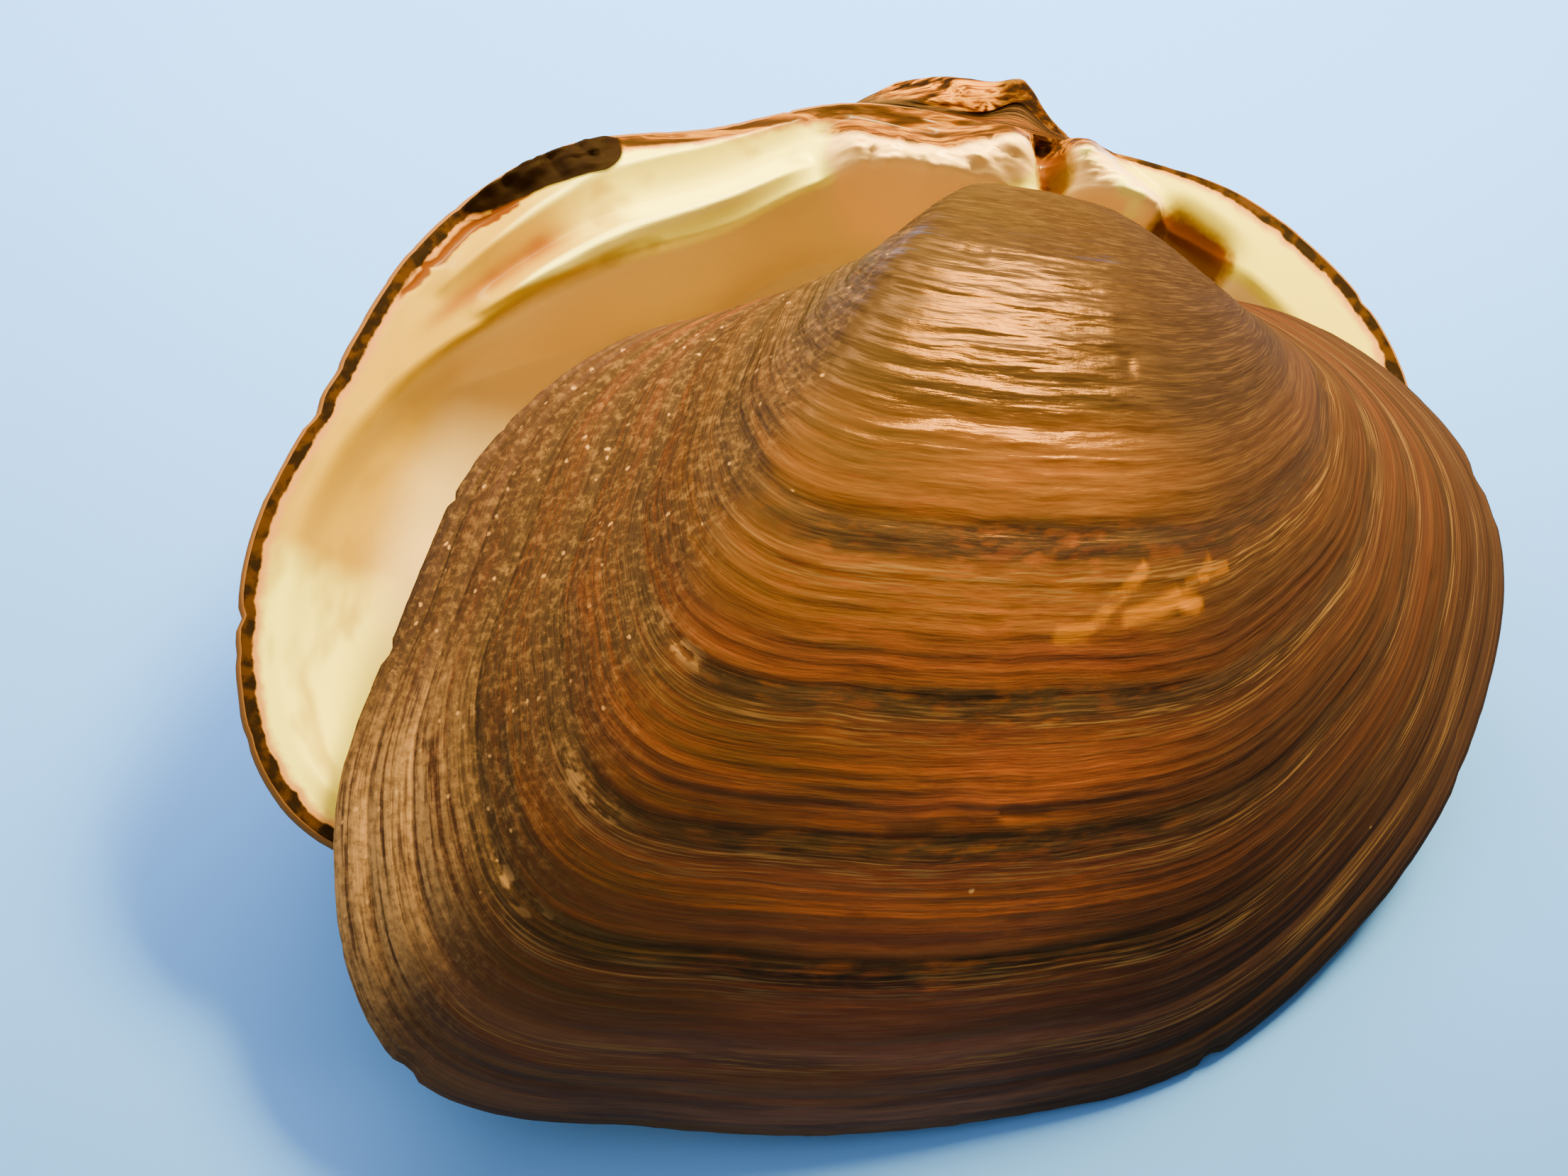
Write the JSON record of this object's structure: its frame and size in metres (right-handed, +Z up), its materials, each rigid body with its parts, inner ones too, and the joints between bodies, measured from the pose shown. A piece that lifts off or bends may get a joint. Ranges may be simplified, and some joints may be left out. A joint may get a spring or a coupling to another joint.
{
  "type": "bivalve shell",
  "caption": "Loose pair of freshwater mussel valves: one lies open like a bowl with its pearly inside up, the other lies across its front edge with its brown outside up.",
  "frame": {"origin": "centre of the bounding box on the floor that the shell lies on", "axes": "+X towards the front ends of the valves and along the length, +Y to the back, towards the hinge of the open valve, +Z up"},
  "size_m": [0.0774, 0.0652, 0.0373],
  "materials": {
    "nacre_shell": "glossy golden and cream mother-of-pearl inside, satin brown horny skin outside",
    "brown_shell": "satin brown horny skin with growth bands outside, glossy cream mother-of-pearl inside"
  },
  "bodies": {
    "root": {"left_valve": "nacre_shell", "right_valve": "brown_shell"}
  },
  "joints": []
}
